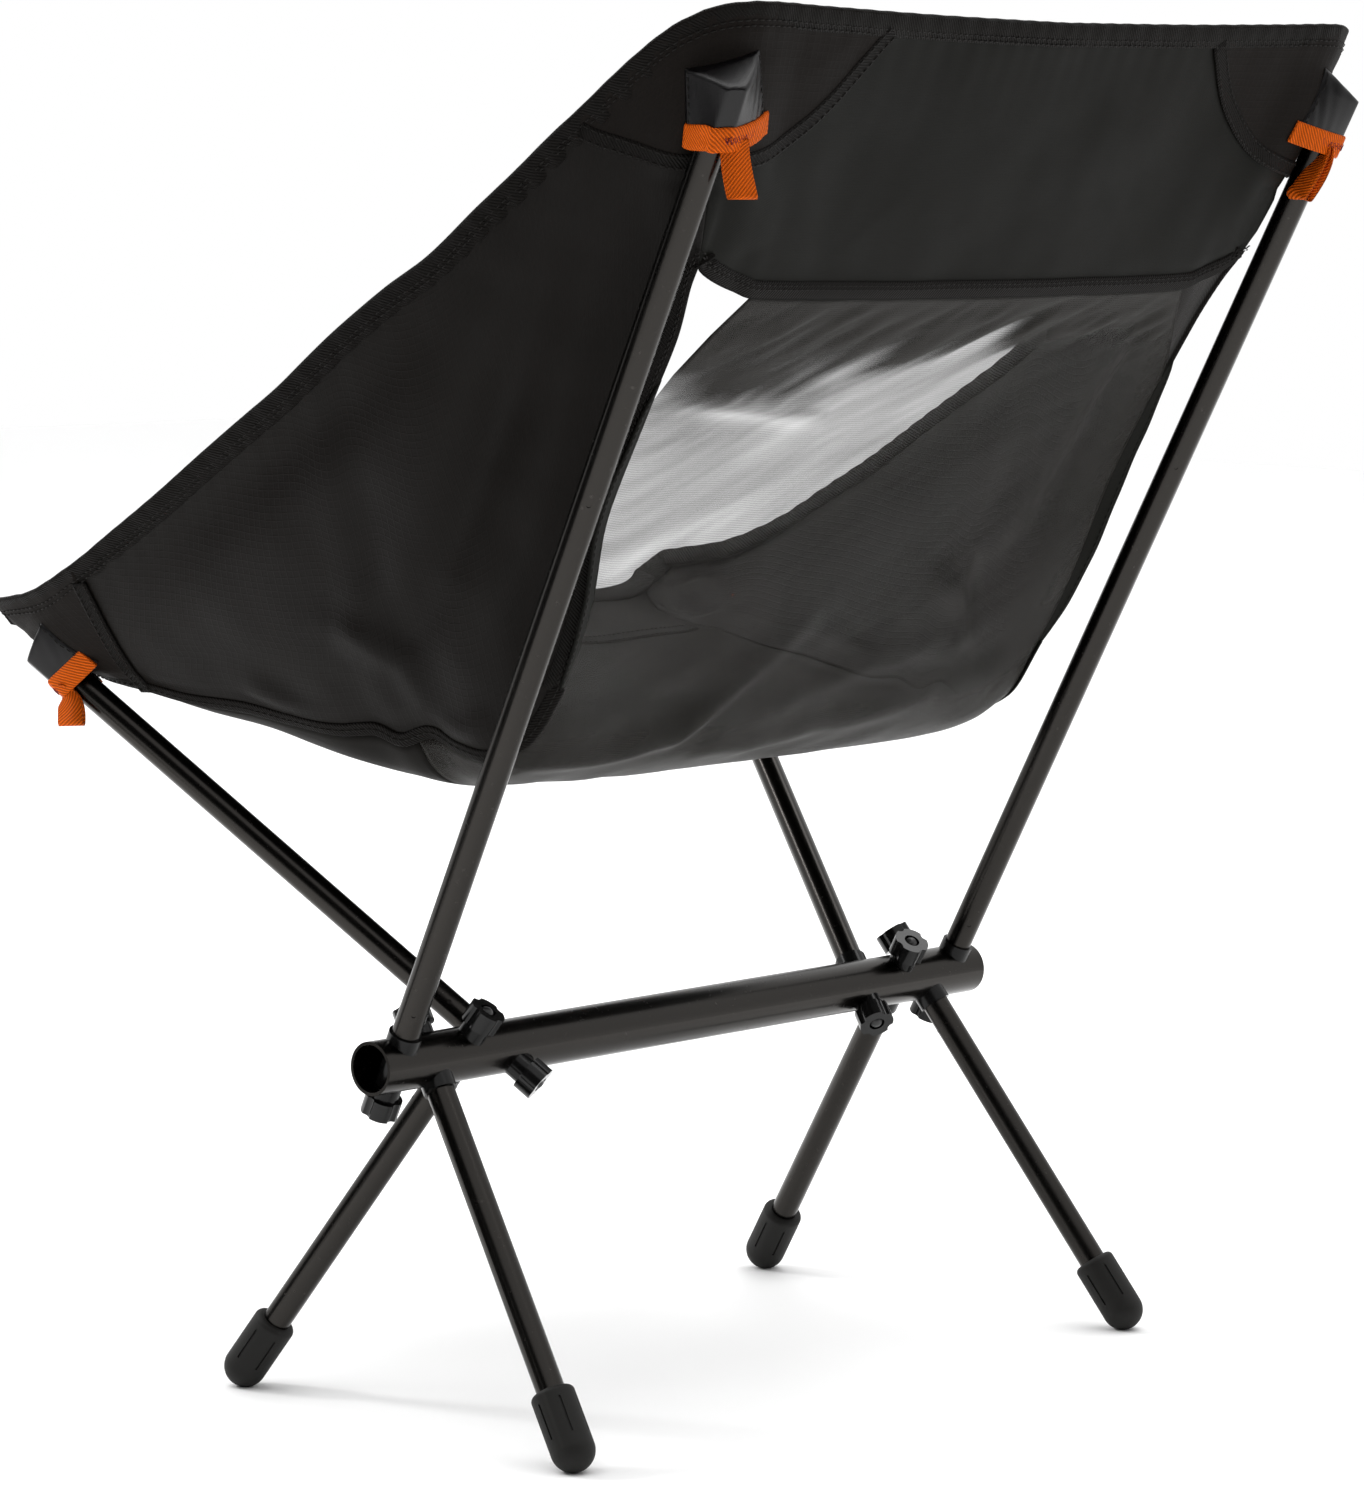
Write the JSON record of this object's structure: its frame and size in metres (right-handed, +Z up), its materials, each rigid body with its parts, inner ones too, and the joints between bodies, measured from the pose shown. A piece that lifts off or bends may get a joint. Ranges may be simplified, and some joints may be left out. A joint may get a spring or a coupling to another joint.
{
  "type": "ultralight backpacking chair",
  "caption": "Low sling chair: a fabric bucket seat with a mesh back hung on a shock-corded pole frame that plugs into one hub bar.",
  "frame": {"origin": "on the floor, under the middle of the whole chair's box", "axes": "+Z up, -Y towards the sitter's front, +X towards the sitter's left"},
  "size_m": [0.508, 0.4388, 0.6303],
  "materials": {
    "pole": "satin black anodised",
    "spigot": "bare drawn tube",
    "hub_plastic": "moulded, semi-gloss black",
    "knob": "moulded, gloss black",
    "cord_stop": "moulded black",
    "cord": "braided elastic cord",
    "boot": "matte moulded rubber",
    "tip_cap": "moulded black",
    "ripstop": "black ripstop weave",
    "mesh": "fine open black mesh",
    "pocket": "coated cloth, slight gloss",
    "webbing": "orange twill webbing"
  },
  "bodies": {
    "hub": {"hub_bar": "pole", "socket_front_leg_left": "hub_plastic", "socket_front_leg_right": "hub_plastic", "socket_rear_leg_left": "hub_plastic", "socket_rear_leg_right": "hub_plastic", "socket_front_upright_left": "hub_plastic", "socket_front_upright_right": "hub_plastic", "socket_back_upright_left": "hub_plastic", "socket_back_upright_right": "hub_plastic", "knob_front_leg_left": "knob", "knob_front_leg_right": "knob", "knob_rear_leg_left": "knob", "knob_rear_leg_right": "knob", "knob_front_upright_left": "knob", "knob_front_upright_right": "knob", "knob_back_upright_left": "knob", "knob_back_upright_right": "knob", "cord_anchors": "cord_stop", "shock_cords": "cord"},
    "front_leg_left": {"tube_front_leg_left": "pole", "spigot_front_leg_left": "spigot", "foot_front_leg_left": "boot"},
    "front_leg_right": {"tube_front_leg_right": "pole", "spigot_front_leg_right": "spigot", "foot_front_leg_right": "boot"},
    "rear_leg_left": {"tube_rear_leg_left": "pole", "spigot_rear_leg_left": "spigot", "foot_rear_leg_left": "boot"},
    "rear_leg_right": {"tube_rear_leg_right": "pole", "spigot_rear_leg_right": "spigot", "foot_rear_leg_right": "boot"},
    "front_upright_left": {"tube_front_upright_left": "pole", "spigot_front_upright_left": "spigot", "tip_cap_front_upright_left": "tip_cap"},
    "front_upright_right": {"tube_front_upright_right": "pole", "spigot_front_upright_right": "spigot", "tip_cap_front_upright_right": "tip_cap"},
    "back_upright_lower_left": {"lower_tube_back_upright_left": "pole", "spigot_back_upright_left": "spigot"},
    "back_upright_upper_left": {"upper_tube_back_upright_left": "pole", "ferrule_back_upright_left": "spigot", "tip_cap_back_upright_left": "tip_cap"},
    "back_upright_lower_right": {"lower_tube_back_upright_right": "pole", "spigot_back_upright_right": "spigot"},
    "back_upright_upper_right": {"upper_tube_back_upright_right": "pole", "ferrule_back_upright_right": "spigot", "tip_cap_back_upright_right": "tip_cap"},
    "seat": {"wing_left": "ripstop", "wing_right": "ripstop", "back_band": "ripstop", "mesh_panel": "mesh", "seat_base": "ripstop", "corner_patches_back": "ripstop", "corner_patches_front": "ripstop", "pocket_front_left": "pocket", "pocket_front_right": "pocket", "pocket_back_left": "pocket", "pocket_back_right": "pocket", "webbing_bands": "webbing", "pull_loops": "webbing"}
  },
  "joints": [
    {"name": "front_leg_left_pull", "type": "slide", "parent": "hub", "child": "front_leg_left", "axis": [0.1578, -0.5536, -0.8177], "range_m": [0, 0.035], "stiffness_N_per_m": 150, "springref_m": -0.05},
    {"name": "front_leg_right_pull", "type": "slide", "parent": "hub", "child": "front_leg_right", "axis": [-0.1578, -0.5536, -0.8177], "range_m": [0, 0.035], "stiffness_N_per_m": 150, "springref_m": -0.05},
    {"name": "rear_leg_left_pull", "type": "slide", "parent": "hub", "child": "rear_leg_left", "axis": [0.1271, 0.5806, -0.8042], "range_m": [0, 0.035], "stiffness_N_per_m": 150, "springref_m": -0.05},
    {"name": "rear_leg_right_pull", "type": "slide", "parent": "hub", "child": "rear_leg_right", "axis": [-0.1271, 0.5806, -0.8042], "range_m": [0, 0.035], "stiffness_N_per_m": 150, "springref_m": -0.05},
    {"name": "seat_lift", "type": "slide", "parent": "hub", "child": "seat", "axis": [0, 0, 1], "range_m": [0, 0.35], "deforming": ["pocket_front_left", "pocket_front_right", "pocket_back_left", "pocket_back_right", "webbing_bands", "pull_loops"]},
    {"name": "front_upright_left_pull", "type": "slide", "parent": "hub", "child": "front_upright_left", "axis": [0.3537, -0.7018, 0.6183], "range_m": [0, 0.035]},
    {"name": "front_upright_right_pull", "type": "slide", "parent": "hub", "child": "front_upright_right", "axis": [-0.3537, -0.7018, 0.6183], "range_m": [0, 0.035]},
    {"name": "back_upright_lower_left_pull", "type": "slide", "parent": "hub", "child": "back_upright_lower_left", "axis": [0.0451, 0.4308, 0.9013], "range_m": [0, 0.035]},
    {"name": "back_upright_upper_left_pull", "type": "slide", "parent": "back_upright_lower_left", "child": "back_upright_upper_left", "axis": [0.0451, 0.4308, 0.9013], "range_m": [0, 0.035]},
    {"name": "back_upright_lower_right_pull", "type": "slide", "parent": "hub", "child": "back_upright_lower_right", "axis": [-0.0451, 0.4308, 0.9013], "range_m": [0, 0.035]},
    {"name": "back_upright_upper_right_pull", "type": "slide", "parent": "back_upright_lower_right", "child": "back_upright_upper_right", "axis": [-0.0451, 0.4308, 0.9013], "range_m": [0, 0.035]}
  ],
  "couplings": [
    {"joint": "front_upright_left_pull", "follows": "seat_lift", "ratio": 0.1},
    {"joint": "front_upright_right_pull", "follows": "seat_lift", "ratio": 0.1},
    {"joint": "back_upright_lower_left_pull", "follows": "seat_lift", "ratio": 0.1},
    {"joint": "back_upright_upper_left_pull", "follows": "seat_lift", "ratio": 0.1},
    {"joint": "back_upright_lower_right_pull", "follows": "seat_lift", "ratio": 0.1},
    {"joint": "back_upright_upper_right_pull", "follows": "seat_lift", "ratio": 0.1}
  ]
}
